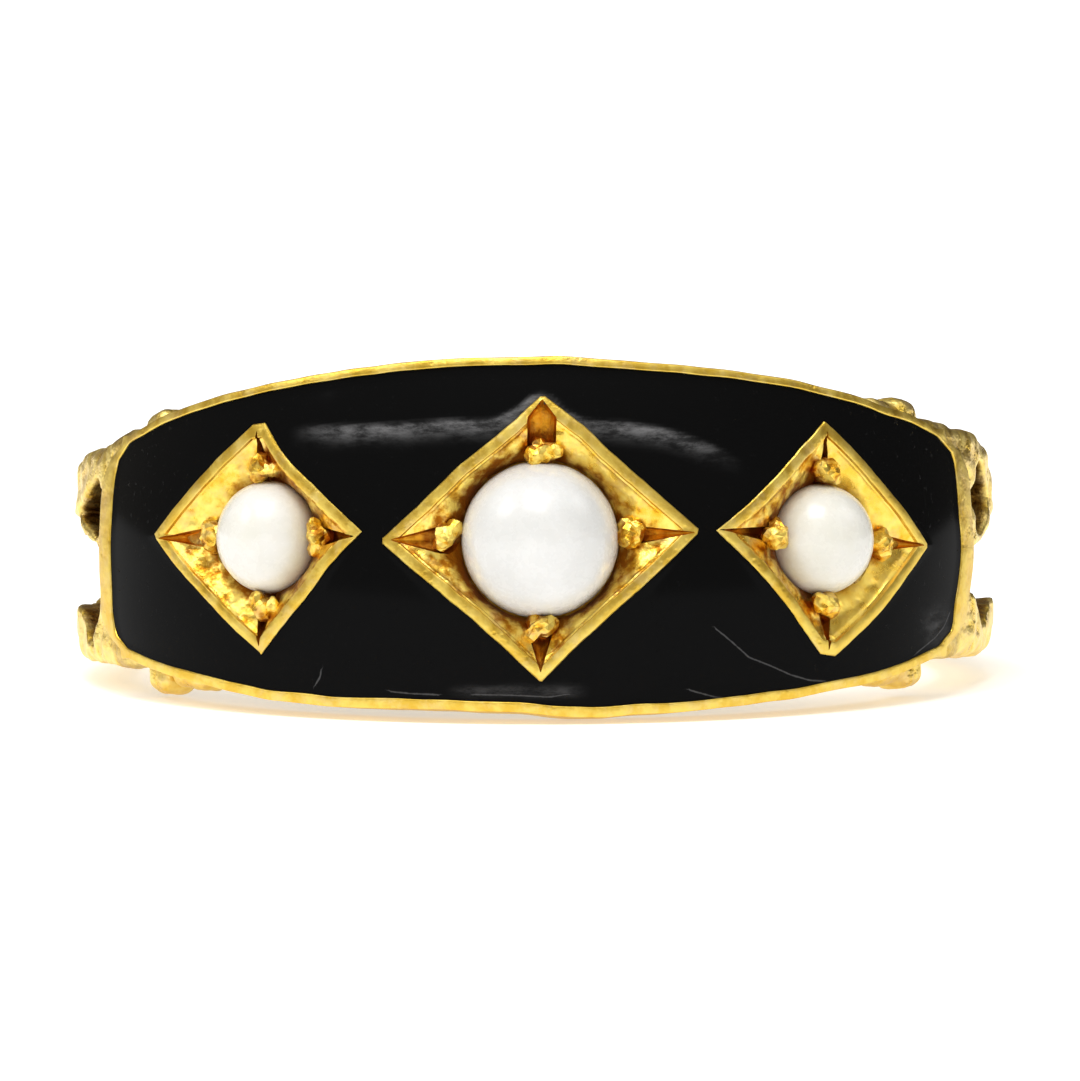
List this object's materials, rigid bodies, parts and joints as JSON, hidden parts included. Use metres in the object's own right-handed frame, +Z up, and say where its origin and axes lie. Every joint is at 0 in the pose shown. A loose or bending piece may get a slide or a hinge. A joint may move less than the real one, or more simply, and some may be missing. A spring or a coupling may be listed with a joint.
{
  "type": "mourning ring",
  "caption": "Gold finger ring with a wide black enamelled face, pearls in lozenge settings and pierced scroll shoulders, lying on its side.",
  "frame": {"origin": "middle of the box's underside, on the surface that the ring lies on", "axes": "+Z up, -Y towards the enamelled face, +X to the right of the face"},
  "size_m": [0.0198, 0.0207, 0.0078],
  "materials": {
    "gold": "satin",
    "black_enamel": "gloss",
    "pearl": "satin"
  },
  "bodies": {
    "root": {"gold_ring": "gold", "enamel_panel": "black_enamel", "centre_pearl": "pearl", "left_pearl": "pearl", "right_pearl": "pearl"}
  },
  "joints": []
}
